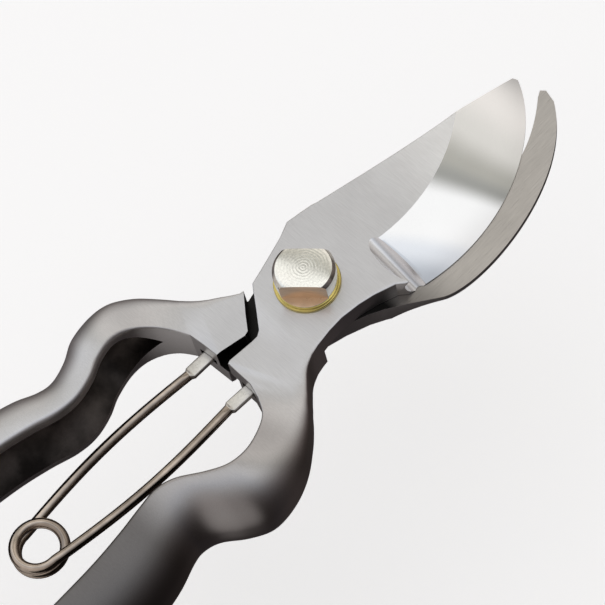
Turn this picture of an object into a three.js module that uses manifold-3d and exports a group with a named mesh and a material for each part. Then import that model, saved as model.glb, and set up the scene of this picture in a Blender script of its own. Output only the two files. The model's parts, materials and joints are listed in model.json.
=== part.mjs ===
// Forged bypass pruning shears, Japanese "A-type" pattern.
// Millimetres, +Z up. The pivot axis is Z; the blades point along +Y, the handles along -Y.
// The bolt's threaded end is the lowest point, at z = 0.

import * as THREE from 'three';
import { LoftGeometry } from 'three/addons/geometries/LoftGeometry.js';
import { mergeVertices } from 'three/addons/utils/BufferGeometryUtils.js';
import Module from 'manifold-3d';

const wasm = await Module();
wasm.setup();

// ---------- driving dimensions ----------

// pivot stack, from the bolt's threaded end upwards
const boltDiameter = 8;
const boltProud = 1;            // thread showing below the nut
const nutHeight = 4.2;
const nutFlats = 13;
const lockWasherThickness = 1.4;
const lockWasherDiameter = 13;
const rearWasherThickness = 0.8;
const rearWasherDiameter = 15;
const plateThickness = 5;       // each forging where the two halves lap
const lapClearance = 0.1;       // oil film between the lapping faces
const frontWasherThickness = 0.6;
const frontWasherDiameter = 14;
const headDiameter = 13;
const headFlats = 8.7;
const headFlangeHeight = 1;
const headHeight = 6;
const headDome = 0.6;
const boreClearance = 0.15;     // round the bolt, on the radius

// blades
const bladeReach = 64.7;        // pivot axis to the cutting tip
const bevelWidth = 12.8;        // ground face, measured square to the cutting edge
const edgeLand = 0.25;          // thickness left at the cutting edge
const grooveRadius = 2.6;       // relief ground behind the heel of the edge
const hookRimHeight = 1.4;      // upright rim left on the outside of the hook
const hookGrindWidth = 6;
const grindRunOut = 14;         // up the shank, where the grind gets shallower

// handles
const shoulderDepth = 24;       // pivot axis to the arch between the shoulders
const gripLength = 114;         // arch to handle ends
const gripHeight = 21;          // channel, lip to lip
const endHeight = 18;           // the same at the handle ends
const channelWall = 2.2;
const endWall = 7;              // solid length at the handle ends

// spring
const wireDiameter = 2.2;
const coilDiameter = 10.2;      // to the middle of the wire
const coilGap = 0.25;           // between neighbouring turns
const springLegLength = 54;     // socket to coil centre
const springBow = 1.5;          // each leg bows outwards by this much
const tabWidth = 2.8;
const tabThickness = 1.4;
const tabLength = 5.6;          // outside the socket
const socketReach = 5.9;        // each socket from the middle of the tool
const socketClearance = 0.25;

// catch
const rivetDiameter = 3.2;
const rivetHeadDiameter = 6;
const rivetHeadHeight = 0.7;
const bailReach = 33;           // rivet to crossbar
const stripWidth = 5;
const stripThickness = 1;
const catchClearance = 0.3;

// ---------- levels that follow ----------

const nutBottom = boltProud;
const nutTop = nutBottom + nutHeight;
const lockTop = nutTop + lockWasherThickness;
const hookBottom = lockTop + rearWasherThickness;
const lapPlane = hookBottom + plateThickness + lapClearance / 2;
const cutBottom = lapPlane + lapClearance / 2;
const cutTop = cutBottom + plateThickness;
const washerTop = cutTop + frontWasherThickness;
const shoulderHalf = cutTop - lapPlane;
const FAR = 60;                 // past everything, for cutters

// ---------- shape tools ----------

function solid(geometry) {
  const bare = new THREE.BufferGeometry().copy(geometry);
  bare.deleteAttribute('normal');
  bare.deleteAttribute('uv');
  const merged = mergeVertices(bare, 1e-4);
  const index = merged.index.array;
  const triangles = [];
  for (let i = 0; i < index.length; i += 3) {
    const [a, b, c] = index.slice(i, i + 3);
    if (a !== b && b !== c && c !== a) triangles.push(a, b, c);
  }
  return new wasm.Manifold(new wasm.Mesh({
    numProp: 3,
    vertProperties: Float32Array.from(merged.attributes.position.array),
    triVerts: Uint32Array.from(triangles),
  }));
}

function geometryOf(body) {
  const mesh = body.getMesh();
  const geometry = new THREE.BufferGeometry();
  geometry.setAttribute('position', new THREE.BufferAttribute(Float32Array.from(mesh.vertProperties), 3));
  geometry.setIndex(new THREE.BufferAttribute(Uint32Array.from(mesh.triVerts), 1));
  return geometry;
}

const v2 = (x, y) => new THREE.Vector2(x, y);
const v3 = (x, y, z) => new THREE.Vector3(x, y, z);

// an upright prism over a plan outline
function prism(outline, bottom, top) {
  const geometry = new THREE.ExtrudeGeometry(new THREE.Shape(outline), {
    depth: top - bottom, bevelEnabled: false,
  });
  return geometry.translate(0, 0, bottom);
}

// a closed skin over sections that all have the same number of points
function loft(sections) {
  return solid(new LoftGeometry(sections, { capStart: true, capEnd: true }));
}

// a round bar, tube or stepped shaft about a vertical axis
function turned(profile, x = 0, y = 0, segments = 40) {
  return new THREE.LatheGeometry(profile.map(([r, z]) => v2(r, z)), segments)
    .rotateX(Math.PI / 2)
    .translate(x, y, 0);
}

function ringAbout(innerRadius, outerRadius, bottom, top) {
  return turned([[innerRadius, bottom], [outerRadius, bottom], [outerRadius, top],
    [innerRadius, top], [innerRadius, bottom]]);
}

// a straight bar between two points, or a wire along a curve
function wire(path, steps) {
  const profile = new THREE.Shape().absarc(0, 0, wireDiameter / 2, 0, 2 * Math.PI);
  return solid(new THREE.ExtrudeGeometry(profile, { steps, extrudePath: path, curveSegments: 5 }));
}

// ---------- plan of the two forgings ----------

// Each forging is a stack of cross-sections from its tip to its handle end. A section runs from
// the inner line (towards the spring) to the outer line, with its outer corners softened.

const heelY = 14.7;             // where the cutting edge starts
const onBlade = (x, share) => v2(x, heelY + share * (bladeReach - heelY));
const edge = new THREE.CubicBezierCurve(
  onBlade(16.2, 0), onBlade(22.5, 0.44), onBlade(11.2, 0.875), onBlade(-1.8, 1));
const bevelTop = new THREE.CubicBezierCurve(
  onBlade(3.8, 0.01), onBlade(6.7, 0.29), onBlade(1.6, 0.61), onBlade(-9.2, 0.79));
const spine = new THREE.CubicBezierCurve(
  onBlade(-11.4, 0), onBlade(-7.4, 0.33), onBlade(-3.4, 0.62), onBlade(-2.1, 1));

const hookBack = new THREE.CubicBezierCurve(
  onBlade(21.3, 0.046), onBlade(26, 0.19), onBlade(23.8, 0.8), onBlade(7.2, 1.026));
const hookMouth = new THREE.CubicBezierCurve(
  onBlade(3.4, 0.046), onBlade(16, 0.36), onBlade(16, 0.71), onBlade(4.2, 1.0));

const corner = 0.03;            // a crisp corner, as a share of the section
const row = (ix, iy, ox, oy, soft = corner) => ({
  inner: v2(ix, iy), outer: v2(ox, oy), half: shoulderHalf, soft,
});

const arch = -shoulderDepth;
const shutFace = 0.6;           // stop face of either forging, beside the centre line

// boss, neck and shoulder of the cutting forging, from the heel down to the arch
const cutNeck = [
  row(-11.9, 13.3, 15.6, 12.9),
  row(-12.3, 11.3, 14.1, 11.3),
  row(-13, 7.2, 12.4, 6.8),
  row(-11.6, 3.8, 11.5, 3.2),
  row(-10.4, -0.4, 10.9, -1.2),
  row(-9.2, -4.8, 11.0, -4.8),
  row(-8.5, -7.5, 11.3, -7.2),
  row(-7.2, -8.6, 11.5, -8.8, 0.05),
  row(-3.6, -11.4, 12.0, -11.0, 0.08),
  row(-0.1, -14.2, 12.8, -12.8, 0.1),
  row(shutFace, -15.4, 13.4, -13.8, 0.12),
  row(shutFace, -17, 14.2, -14.8, 0.14),
  row(0.35, -20, 15.2, -15.8, 0.16),
  row(0.1, arch + 1.1, 15.9, -16.5, 0.18),
  row(0.4, arch + 0.4, 16.4, -17, 0.19),
  row(3.5, arch + 0.3, 17.3, -17.8, 0.22),
  row(6.8, arch + 0.2, 18.3, -18.8, 0.26),
];
// handle: share of the grip length, inner x, outer x, how far the outer point leads up the handle
const cutGrip = [
  [0.009, 10.3, 20, 4.7],
  [0.029, 14, 22.9, 3.8],
  [0.066, 16.7, 27, 2.3],
  [0.103, 18.1, 29.4, 0.5],
  [0.139, 17.8, 29.8, -1.2],
  [0.176, 15.5, 27.3, -1.8],
  [0.219, 12, 23.6, -1.3],
  [0.256, 10.7, 22.4, -0.6],
  [0.298, 11.1, 22.8, 1],
  [0.356, 12, 25, 1.2],
  [0.43, 12.7, 26.4, 1],
  [0.53, 12.9, 26.4, 0],
  [0.64, 12.8, 25.4, -1],
  [0.75, 12.2, 23.9, -1.5],
  [0.85, 11.1, 22, -2],
  [0.94, 9.6, 19.4, -2.6],
];

const hookNeck = [
  row(16.5, 10.7, -1.5, 14.4),
  row(14, 7, -6.5, 11),
  row(12.3, 4, -9.8, 6),
  row(10.3, -1, -10.2, 0),
  row(9, -5.5, -9.6, -5),
  row(8.4, -7.6, -9, -8),
  row(7.1, -8.7, -8.6, -9.6),
  row(3.6, -11.4, -8.9, -10.8, 0.05),
  row(0.1, -14.2, -9.9, -12.1, 0.08),
  row(-shutFace, -15.4, -10.5, -12.8, 0.1),
  row(-shutFace, -17, -11.3, -13.7, 0.12),
  row(-0.35, -20, -12.3, -14.9, 0.14),
  row(-0.1, arch + 1.1, -13.1, -15.9, 0.16),
  row(-0.4, arch + 0.3, -13.6, -16.4, 0.17),
  row(-3.5, arch + 0.2, -14.6, -17.4, 0.2),
  row(-6.5, arch + 0.1, -15.8, -18.4, 0.24),
];
const hookGrip = [
  [0.002, -9.9, -17.8, 4.3],
  [0.018, -13.4, -21.2, 3.6],
  [0.04, -16.3, -25.3, 2.6],
  [0.07, -18.5, -28.5, 1.5],
  [0.105, -19.2, -29.4, 0.4],
  [0.146, -18.2, -28.6, -0.4],
  [0.184, -16.2, -26.1, -0.6],
  [0.228, -15, -24.7, -0.3],
  [0.272, -15.4, -25.4, 1.2],
  [0.325, -17.3, -27.7, 2.8],
  [0.386, -19, -29.8, 2.8],
  [0.456, -20.2, -31.4, 2.2],
  [0.553, -21.2, -32.4, 1.2],
  [0.658, -21.4, -32.4, 0],
  [0.763, -20.8, -31.4, -1],
  [0.86, -19.3, -29.2, -2.2],
  [0.94, -17.2, -26.2, -3.2],
];

const ease = x => THREE.MathUtils.clamp(x, 0, 1);
const swellShare = 0.14;        // of the grip, over which the handle grows to its full height
const swell = share => Math.sin(ease(share / swellShare) * Math.PI / 2) ** 1.3;
const taper = share => (gripHeight - endHeight) / 2 * ease((share - 0.5) / 0.5);
const gripHalf = share => shoulderHalf + (gripHeight / 2 - shoulderHalf) * swell(share) - taper(share);
const gripSoft = share => 0.28 + 0.6 * swell(share);

function gripRows(stations) {
  const low = share => arch - share * gripLength;
  const inner = new THREE.SplineCurve(stations.map(([share, x]) => v2(x, low(share))));
  const outer = new THREE.SplineCurve(stations.map(([share, , x, lead]) => v2(x, low(share) + lead)));
  const rows = [];
  const steps = 2 * (stations.length - 1);
  for (let i = 0; i <= steps; i++) {
    const from = inner.getPoint(i / steps);
    const share = (arch - from.y) / gripLength;
    rows.push({
      inner: from, outer: outer.getPoint(i / steps), share,
      half: gripHalf(share), soft: gripSoft(share),
    });
  }
  return rows;
}

// the handle's rounded end, running on from its last section
function endRows(last, before) {
  const middle = r => r.inner.clone().add(r.outer).multiplyScalar(0.5);
  const centre = middle(last);
  const along = centre.clone().sub(middle(before)).normalize();
  const length = -(arch - gripLength - centre.y) / -along.y;
  return [25, 45, 62, 76, 86].map(degrees => {
    const turn = THREE.MathUtils.degToRad(degrees);
    const shrink = Math.cos(turn);
    const shift = along.clone().multiplyScalar(length * Math.sin(turn));
    const place = p => p.clone().sub(centre).multiplyScalar(shrink).add(centre).add(shift);
    return { ...last, inner: place(last.inner), outer: place(last.outer), half: last.half * shrink };
  });
}

const cornerSteps = 4;
function section({ inner, outer, half, soft }) {
  const width = inner.distanceTo(outer);
  const across = width * soft;
  const up = half * soft;
  const at = (a, z) => v3(...inner.clone().lerp(outer, a / width).toArray(), lapPlane + z);
  const points = [at(0, half)];
  for (let i = 0; i <= cornerSteps; i++) {
    const turn = i / cornerSteps * Math.PI / 2;
    points.push(at(width - across * (1 - Math.sin(turn)), half - up * (1 - Math.cos(turn))));
  }
  for (let i = 0; i <= cornerSteps; i++) {
    const turn = i / cornerSteps * Math.PI / 2;
    points.push(at(width - across * (1 - Math.cos(turn)), -half + up * (1 - Math.sin(turn))));
  }
  points.push(at(0, -half));
  return points;
}

// the trough inside a handle, open towards the spring
const troughStart = 0.03;
const troughEnd = 1 - endWall / gripLength;
const lipExtra = 4.5;           // thickness added to the lips where the trough starts
function trough(rows) {
  return rows.filter(r => r.share > troughStart && r.share < troughEnd).map(r => {
    const width = r.inner.distanceTo(r.outer);
    const open = ease((r.share - troughStart) / 0.09);
    const lip = channelWall + lipExtra * (1 - open) ** 2;
    const depth = Math.max((width - channelWall) * Math.sqrt(open), 1);
    const at = a => r.inner.clone().lerp(r.outer, a / width);
    return section({ inner: at(-FAR / 12), outer: at(depth), half: r.half - lip, soft: r.soft });
  });
}

// ---------- cutters that both forgings share ----------

// plan of the step between the full-height shoulder and the lap, for the hook forging
const stepLine = [[-14, -5.3], [-8.1, -10.4], [-4.5, -13.5], [-1.6, -15.8], [-1.3, -16.9],
  [-2.6, arch + 1.2], [-2.7, arch - 1]];
function lapOutline(side) {
  return [[-FAR, -5.3], ...stepLine, [FAR, arch - 1], [FAR, 2 * FAR], [-FAR, 2 * FAR]]
    .map(([x, y]) => v2(side * x, y));
}

const boreRadius = boltDiameter / 2 + boreClearance;
const bore = () => solid(turned([[0, -FAR], [boreRadius, -FAR], [boreRadius, FAR], [0, FAR]]));

// pocket for a spring tab, wide enough for the tab to swing
const socketY = arch + 1.7;     // the tab turns about this depth in its pocket
const tabInside = 1.3;          // tab beyond that point
function socket(side) {
  const near = socketReach - 1.4 - tabWidth * 0.3;
  const far = socketReach + tabWidth * 0.8;
  const end = socketY + Math.hypot(tabInside, tabWidth / 2) + socketClearance;
  const outline = [[near, arch - 3], [near, end], [far, end], [far, arch - 3]];
  const half = tabThickness / 2 + socketClearance;
  return solid(prism(outline.map(([x, y]) => v2(side * x, y)), lapPlane - half, lapPlane + half));
}

// ---------- cutting forging ----------

function bladeRows(innerCurve, outerCurve, count) {
  const rows = [];
  for (let i = 0; i <= count; i++) {
    const t = 1 - i / count * 0.985 - 0.015;
    rows.push({ inner: innerCurve.getPoint(t), outer: outerCurve.getPoint(t),
      half: shoulderHalf, soft: corner });
  }
  return rows;
}

// the ground face: a wedge ruled from the edge up to the border on the flat
function bevelCutter() {
  const low = cutBottom + edgeLand;
  const sections = [];
  const count = 24;
  for (let i = 0; i <= count; i++) {
    const t = i / count * 1.06;
    const from = edge.getPoint(Math.min(t, 1));
    const to = bevelTop.getPoint(Math.min(t, 1));
    const past = edge.getTangent(1).multiplyScalar(Math.max(t - 1, 0) * bladeReach);
    const at = (k, z) => v3(from.x + past.x + k * (to.x - from.x), from.y + past.y + k * (to.y - from.y), z);
    const rise = cutTop - low;
    sections.push([at(-0.3, low - 0.1), at(0, low), at(1, cutTop), at(1.2, low + 1.2 * rise),
      at(1.2, cutTop + 6), at(-0.3, cutTop + 6)]);
  }
  return loft(sections);
}

// relief ground across the heel, deepening towards the edge
function heelGroove() {
  const slope = Math.atan2(plateThickness, bevelWidth);
  const start = v3(3.8, heelY + 0.4, cutTop);
  const run = v3(Math.cos(slope), -0.02, -Math.sin(slope)).normalize();
  const length = bevelWidth * 1.6;
  const lift = grooveRadius * 0.96;
  return solid(new THREE.CylinderGeometry(grooveRadius, grooveRadius, length * 1.4, 40)
    .applyQuaternion(new THREE.Quaternion().setFromUnitVectors(v3(0, 1, 0), run))
    .translate(start.x + run.x * length * 0.35, start.y + 0.1, start.z + lift + run.z * length * 0.35));
}

const cutRows = gripRows(cutGrip);
const cutEnd = endRows(cutRows.at(-1), cutRows.at(-2));
const cutForging = loft([...bladeRows(spine, edge, 22), ...cutNeck, ...cutRows, ...cutEnd]
  .map(r => section(r).reverse()))
  .subtract(solid(prism(lapOutline(-1), -FAR, cutBottom)))
  .subtract(loft(trough(cutRows).map(points => points.reverse())))
  .subtract(bevelCutter())
  .subtract(heelGroove())
  .subtract(bore())
  .subtract(socket(1));

// ---------- hook forging ----------

const hookTip = [row(4.8, 66.5, 3.9, 65.7)].map(r => ({
  ...r, outer: onBlade(3.9, 1.018), inner: onBlade(4.9, 1.034),
}));

// the hook is ground away underneath, leaving a low rim along its back
function hookGrind() {
  const rim = lapPlane - lapClearance / 2 - hookRimHeight;
  const drop = plateThickness - hookRimHeight;
  const sections = [];
  const count = 20;
  const before = 7;
  for (let i = -before; i <= count; i++) {
    const t = Math.max(i, 0) / count;
    const shank = Math.min(i, 0) / before;
    const along = hookBack.getTangent(t);
    const past = i === count ? 3 : shank * grindRunOut;
    const from = hookBack.getPoint(t).addScaledVector(along, past);
    const reach = hookGrindWidth * (0.35 + 0.65 * Math.sin(Math.PI * Math.min(t + 0.12, 0.5)));
    const top = rim - 1.1 * drop * shank * shank;
    const at = (k, z) => v3(from.x - along.y * k * reach, from.y + along.x * k * reach, z);
    sections.push([at(-0.5, top + drop * 0.3), at(-0.5, -5), at(1.3, -5), at(1.3, top - drop * 1.3),
      at(0, top)]);
  }
  return loft(sections);
}

const hookRows = gripRows(hookGrip);
const hookEnd = endRows(hookRows.at(-1), hookRows.at(-2));

const middleOf = r => r.inner.clone().add(r.outer).multiplyScalar(0.5);
const rivetRow = hookRows.at(-3);
const rivetAt = middleOf(rivetRow);
const rivetHole = solid(turned([[0, -FAR], [rivetDiameter / 2 + boreClearance, -FAR],
  [rivetDiameter / 2 + boreClearance, FAR], [0, FAR]], rivetAt.x, rivetAt.y, 24));

const hookForging = loft([...hookTip, ...bladeRows(hookBack, hookMouth, 20), ...hookNeck, ...hookRows,
  ...hookEnd].map(section))
  .subtract(solid(prism(lapOutline(1), lapPlane - lapClearance / 2, FAR)))
  .subtract(loft(trough(hookRows)))
  .subtract(hookGrind())
  .subtract(bore())
  .subtract(socket(-1))
  .subtract(rivetHole);

// ---------- pivot stack ----------

const boltRadius = boltDiameter / 2;

function hexagon(flats, bottom, top) {
  const outline = [];
  for (let i = 0; i < 6; i++) {
    const turn = i * Math.PI / 3;
    outline.push(v2(Math.cos(turn), Math.sin(turn)).multiplyScalar(flats / Math.sqrt(3)));
  }
  return prism(outline, bottom, top);
}

function pivotBolt() {
  const crown = washerTop + headHeight;
  const headRadius = headDiameter / 2;
  const round = solid(turned([
    [0, 0], [boltRadius - 0.5, 0], [boltRadius, 0.5], [boltRadius, washerTop],
    [headRadius, washerTop], [headRadius, crown - headDome - 0.5], [headRadius - 0.5, crown - headDome],
    [headRadius * 0.6, crown - headDome * 0.25], [headRadius * 0.25, crown], [0, crown],
  ]));
  const flatTurn = Math.atan2(0.646, 0.763);
  const slab = side => solid(new THREE.BoxGeometry(FAR, FAR, headHeight * 2)
    .translate(0, side * (FAR / 2 + headFlats / 2), washerTop + headFlangeHeight + headHeight)
    .rotateZ(flatTurn));
  return round.subtract(slab(1)).subtract(slab(-1));
}

function pivotNut() {
  const chamfer = solid(turned([[0, nutBottom], [nutFlats * 0.5, nutBottom], [nutFlats * 0.58, nutBottom + 0.6],
    [nutFlats * 0.58, nutTop], [0, nutTop]]));
  const threadHole = solid(turned([[0, -1], [boltRadius + 0.05, -1], [boltRadius + 0.05, FAR], [0, FAR]]));
  return solid(hexagon(nutFlats, nutBottom, nutTop)).intersect(chamfer).subtract(threadHole);
}

function lockWasher() {
  const slit = solid(new THREE.BoxGeometry(lockWasherDiameter, 0.8, FAR)
    .translate(lockWasherDiameter / 2, 0, 0).rotateZ(2.4));
  return solid(ringAbout(boreRadius, lockWasherDiameter / 2, nutTop, lockTop)).subtract(slit);
}

// ---------- spring: one wire, modelled as two halves that meet in the coil ----------

const socketAt = side => v2(side * socketReach, socketY);
const coilDrop = Math.sqrt(springLegLength ** 2 - (socketReach + 2.1) ** 2);
const coilCentre = v2(-2.1, socketY - coilDrop);
const coilRadius = coilDiameter / 2;
const coilPitch = wireDiameter + coilGap;
const coilBreak = THREE.MathUtils.degToRad(11);    // half the gap that lets the legs turn

// the wire leaves the socket straight and meets the coil along its tangent
function springHalf(side) {
  const from = socketAt(side);
  const line = coilCentre.clone().sub(from);
  const reach = line.length();
  const turnIn = Math.asin(coilRadius / reach);
  const direction = line.clone().normalize().rotateAround(v2(0, 0), side * turnIn);
  const touch = from.clone().add(direction.clone().multiplyScalar(reach * Math.cos(turnIn)));
  const radial = touch.clone().sub(coilCentre);
  const startAngle = Math.atan2(radial.y, radial.x);
  const seam = -Math.PI / 2 + Math.PI;               // the halves meet at the top of the middle turn
  let sweep = side < 0 ? seam - startAngle : startAngle - seam;
  while (sweep < 0) sweep += 2 * Math.PI;
  sweep -= coilBreak;
  const level = angle => lapPlane + side * coilPitch * (angle + coilBreak) / (2 * Math.PI);

  const tabEnd = arch - tabLength;
  const along = y => from.clone().add(direction.clone().multiplyScalar((y - from.y) / direction.y));
  const legTop = along(tabEnd + 0.6);
  const points = [v3(legTop.x, legTop.y, lapPlane)];
  const outward = v2(-direction.y, direction.x).multiplyScalar(side * springBow);
  const legStations = 6;
  for (let i = 1; i <= legStations; i++) {
    const bow = outward.clone().multiplyScalar(Math.sin(Math.PI * i / legStations));
    const spot = legTop.clone().lerp(touch, i / legStations).add(bow);
    points.push(v3(spot.x, spot.y, lapPlane + (level(sweep) - lapPlane) * i / legStations));
  }
  const coilStations = 20;
  for (let i = 1; i <= coilStations; i++) {
    const turned = sweep * i / coilStations;
    const angle = side < 0 ? startAngle + turned : startAngle - turned;
    points.push(v3(coilCentre.x + coilRadius * Math.cos(angle), coilCentre.y + coilRadius * Math.sin(angle),
      level(sweep - turned)));
  }
  const rod = wire(new THREE.CatmullRomCurve3(points, false, 'centripetal'), 56);
  const tabTop = along(socketY + tabInside);
  const tabBottom = along(tabEnd);
  const middle = tabTop.clone().add(tabBottom).multiplyScalar(0.5);
  const tab = solid(new THREE.BoxGeometry(tabWidth, tabTop.distanceTo(tabBottom), tabThickness)
    .rotateZ(Math.atan2(direction.y, direction.x) + Math.PI / 2)
    .translate(middle.x, middle.y, lapPlane));
  return rod.add(tab);
}

// ---------- catch: a steel bail that swings over the other handle ----------

// inside face of each arm from the lap plane: clear of the handle it folds along
const bailHalf = catchClearance + Math.max(...hookRows
  .filter(r => middleOf(r).distanceTo(rivetAt) < bailReach + stripWidth).map(r => r.half));
function catchBail() {
  const eye = stripWidth / 2 + 0.6;
  const arm = new THREE.Shape();
  arm.absarc(0, 0, eye, Math.PI / 2, 3 * Math.PI / 2, false);
  arm.lineTo(bailReach + stripThickness / 2, -stripWidth / 2);
  arm.lineTo(bailReach + stripThickness / 2, stripWidth / 2);
  const hole = new THREE.Path().absarc(0, 0, rivetDiameter / 2 + boreClearance, 0, 2 * Math.PI, true);
  arm.holes.push(hole);
  const plate = z => solid(new THREE.ExtrudeGeometry(arm, {
    depth: stripThickness, bevelEnabled: false, curveSegments: 16,
  }).translate(0, 0, z));
  const bar = solid(new THREE.BoxGeometry(stripThickness, stripWidth, 2 * (bailHalf + stripThickness))
    .translate(bailReach, 0, 0));
  return plate(bailHalf).add(plate(-bailHalf - stripThickness)).add(bar);
}

// folded back: the crossbar lies just outside the back of the hook handle
function foldedTurn() {
  const back = new THREE.SplineCurve(hookRows.map(r => r.outer)).getPoints(8 * hookRows.length);
  const gap = Math.hypot(stripWidth, stripThickness) / 2 + catchClearance;
  for (let degrees = 95; degrees < 180; degrees += 0.5) {
    const turn = THREE.MathUtils.degToRad(degrees);
    const bar = rivetAt.clone().add(v2(Math.cos(turn), Math.sin(turn)).multiplyScalar(bailReach));
    const nearest = back.reduce((best, p) => (p.distanceTo(bar) < best.distanceTo(bar) ? p : best));
    if (bar.x < nearest.x && nearest.distanceTo(bar) > gap) return turn;
  }
  return Math.PI;
}

function catchRivet() {
  const end = bailHalf + stripThickness;
  const radius = rivetDiameter / 2;
  const head = rivetHeadDiameter / 2;
  const profile = [[0, -end - rivetHeadHeight], [head * 0.6, -end - rivetHeadHeight], [head, -end - 0.3],
    [head, -end], [radius, -end], [radius, end], [head, end], [head, end + 0.3],
    [head * 0.6, end + rivetHeadHeight], [0, end + rivetHeadHeight]];
  return solid(turned(profile, rivetAt.x, rivetAt.y, 24).translate(0, 0, lapPlane));
}

// ---------- assembly ----------

const satinSteel = new THREE.MeshStandardMaterial({ color: 0xb4b2b1, metalness: 1, roughness: 0.38 });
const boltSteel = new THREE.MeshStandardMaterial({ color: 0xd6d2c4, metalness: 1, roughness: 0.3 });
const brass = new THREE.MeshStandardMaterial({ color: 0xd8c169, metalness: 1, roughness: 0.3 });
const springSteel = new THREE.MeshStandardMaterial({ color: 0x8d8274, metalness: 1, roughness: 0.28 });
const platedSteel = new THREE.MeshStandardMaterial({ color: 0xa9a9a6, metalness: 1, roughness: 0.35 });

const shears = new THREE.Group();
function add(name, body, material) {
  const mesh = new THREE.Mesh(geometryOf(body), material.clone());
  mesh.name = name;
  shears.add(mesh);
  return mesh;
}

add('hook_blade', hookForging, satinSteel);
add('cutting_blade', cutForging, satinSteel);
add('pivot_bolt', pivotBolt(), boltSteel);
add('front_washer', solid(ringAbout(boreRadius, frontWasherDiameter / 2, cutTop, washerTop)), brass);
add('rear_washer', solid(ringAbout(boreRadius, rearWasherDiameter / 2, lockTop, hookBottom)), platedSteel);
add('lock_washer', lockWasher(), springSteel);
add('pivot_nut', pivotNut(), platedSteel);
add('spring_left', springHalf(-1), springSteel);
add('spring_right', springHalf(1), springSteel);
add('catch_rivet', catchRivet(), platedSteel);
const bail = add('catch_bail', catchBail(), platedSteel);
bail.position.set(rivetAt.x, rivetAt.y, lapPlane);
bail.rotation.z = foldedTurn();

export default shears;
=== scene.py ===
import json
from math import asin, atan2, cos, hypot, pi, radians, sin, sqrt, tau

import bmesh
import bpy
from mathutils import Matrix, Vector


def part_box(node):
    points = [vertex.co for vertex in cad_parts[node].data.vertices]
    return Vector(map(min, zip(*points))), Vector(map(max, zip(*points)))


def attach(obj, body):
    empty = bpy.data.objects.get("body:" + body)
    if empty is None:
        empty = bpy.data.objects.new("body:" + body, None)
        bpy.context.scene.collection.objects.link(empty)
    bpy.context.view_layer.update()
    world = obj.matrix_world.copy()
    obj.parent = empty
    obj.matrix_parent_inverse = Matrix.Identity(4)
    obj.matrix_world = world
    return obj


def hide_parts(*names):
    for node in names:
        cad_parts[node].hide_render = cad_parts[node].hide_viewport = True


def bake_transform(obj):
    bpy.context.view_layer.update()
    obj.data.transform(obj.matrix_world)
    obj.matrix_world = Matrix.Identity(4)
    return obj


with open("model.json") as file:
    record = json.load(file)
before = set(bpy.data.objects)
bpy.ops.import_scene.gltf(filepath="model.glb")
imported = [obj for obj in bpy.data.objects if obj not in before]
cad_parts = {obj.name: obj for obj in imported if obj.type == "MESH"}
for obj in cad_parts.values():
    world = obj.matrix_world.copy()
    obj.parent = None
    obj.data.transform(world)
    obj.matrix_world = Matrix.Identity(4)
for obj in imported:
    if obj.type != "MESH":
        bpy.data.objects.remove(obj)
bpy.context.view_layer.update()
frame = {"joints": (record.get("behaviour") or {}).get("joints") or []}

# ---------------------------------------------------------------------------
# Camera. A long lens above and to the right of the blades, rolled so that the
# shears run up the frame from bottom left to top right.
# ---------------------------------------------------------------------------
camera_data = bpy.data.cameras.new("camera")
camera_data.angle = radians(12.506)
camera_data.clip_end = 20
camera = bpy.data.objects.new("camera", camera_data)
bpy.context.collection.objects.link(camera)
camera_place = (0.22516, -0.13527, 0.51258)
camera_right = Vector((0.71003, 0.69088, -0.13614))
camera_up = Vector((-0.58040, 0.68367, 0.44240))
camera_back = camera_right.cross(camera_up).normalized()
camera_up = camera_back.cross(camera_right)
camera_turn = Matrix((camera_right, camera_up, camera_back)).transposed().to_4x4()
camera.matrix_world = Matrix.Translation(camera_place) @ camera_turn
bpy.context.scene.camera = camera
bpy.context.scene.view_settings.view_transform = "Standard"


# ---------------------------------------------------------------------------
# Studio. A plain pale floor under a white tent. The steel mirrors the tent's
# lighter and darker bands; the camera itself sees only a plain backdrop.
# ---------------------------------------------------------------------------
class Nodes:
    """A node tree that is written down link by link."""

    def __init__(self, tree):
        self.tree = tree

    def add(self, kind, **settings):
        """A new node; each setting goes to the socket of that name, or else to the property."""
        node = self.tree.nodes.new("ShaderNode" + kind)
        for key, value in settings.items():
            if key.title() in node.inputs:
                self.put(value, node.inputs[key.title()])
            else:
                setattr(node, key, value)
        return node

    def put(self, value, socket):
        """Links an output to a socket, or sets the socket to a plain value."""
        if isinstance(value, bpy.types.NodeSocket):
            self.tree.links.new(value, socket)
        else:
            socket.default_value = value

    def math(self, operation, *values):
        node = self.add("Math", operation=operation)
        for value, socket in zip(values, node.inputs):
            self.put(value, socket)
        return node.outputs[0]

    def mix(self, share, a, b, blend):
        """Two colours blended; a mix node keeps its colours in inputs 6 and 7 and output 2."""
        node = self.tree.nodes.new("ShaderNodeMix")
        node.data_type = "RGBA"
        node.blend_type = blend
        self.put(share, node.inputs[0])
        self.put(a, node.inputs[6])
        self.put(b, node.inputs[7])
        return node.outputs[2]

    def ramp(self, value, stops):
        """A smooth colour ramp through (place, colour) stops."""
        node = self.tree.nodes.new("ShaderNodeValToRGB")
        node.color_ramp.interpolation = "EASE"
        self.put(value, node.inputs[0])
        row = node.color_ramp.elements
        for _ in stops[2:]:
            row.new(1.0)
        for stop, (place, colour) in zip(row, stops):
            stop.position = place
            stop.color = (*colour, 1)
        return node.outputs[0]


world = bpy.data.worlds.new("tent")
bpy.context.scene.world = world
world.use_nodes = True
world.node_tree.nodes.clear()
sky = Nodes(world.node_tree)
direction = sky.add("SeparateXYZ", vector=sky.add("TexCoord").outputs["Generated"])
dir_x, dir_y, dir_z = direction.outputs
white, black = (1.0, 1.0, 1.0), (0.0, 0.0, 0.0)


def halved(value):
    """Brings a direction from -1..1 to the 0..1 of a ramp."""
    return sky.math("MULTIPLY_ADD", value, 0.5, 0.5)


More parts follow.
